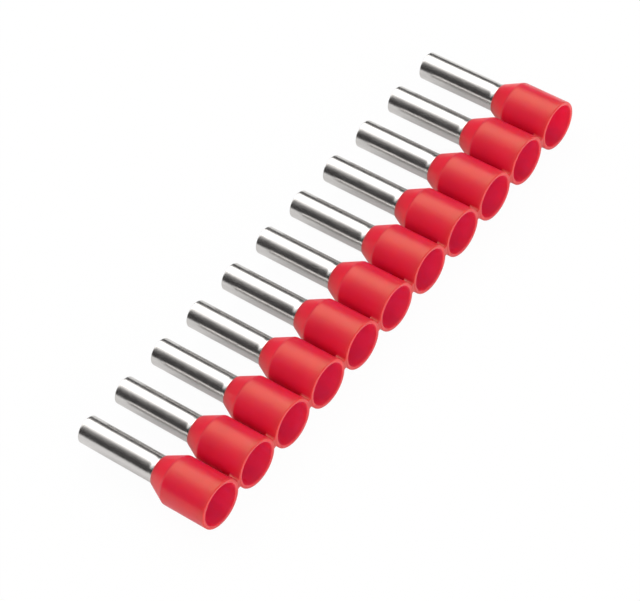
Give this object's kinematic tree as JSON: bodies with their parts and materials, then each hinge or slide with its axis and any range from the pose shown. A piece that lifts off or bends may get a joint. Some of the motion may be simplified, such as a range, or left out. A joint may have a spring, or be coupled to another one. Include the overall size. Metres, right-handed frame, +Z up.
{
  "type": "wire ferrule strip",
  "caption": "Break-off strip of insulated wire ferrules: tin-plated copper sleeves in funnel-shaped red plastic collars, for crimping on the ends of stranded wire.",
  "frame": {"origin": "middle of the strip's footprint, on the surface that it lies on", "axes": "+X along the row of ferrules, +Y along the sleeves from the mouths to the tips, +Z up"},
  "size_m": [0.052, 0.014, 0.0045],
  "materials": {
    "collar_plastic": "satin moulded plastic, slightly translucent",
    "sleeve_tin": "bright tin plating on drawn copper tube"
  },
  "bodies": {
    "root": {"collar_strip": "collar_plastic", "sleeve_01": "sleeve_tin", "sleeve_02": "sleeve_tin", "sleeve_03": "sleeve_tin", "sleeve_04": "sleeve_tin", "sleeve_05": "sleeve_tin", "sleeve_06": "sleeve_tin", "sleeve_07": "sleeve_tin", "sleeve_08": "sleeve_tin", "sleeve_09": "sleeve_tin", "sleeve_10": "sleeve_tin", "sleeve_11": "sleeve_tin"}
  },
  "joints": []
}
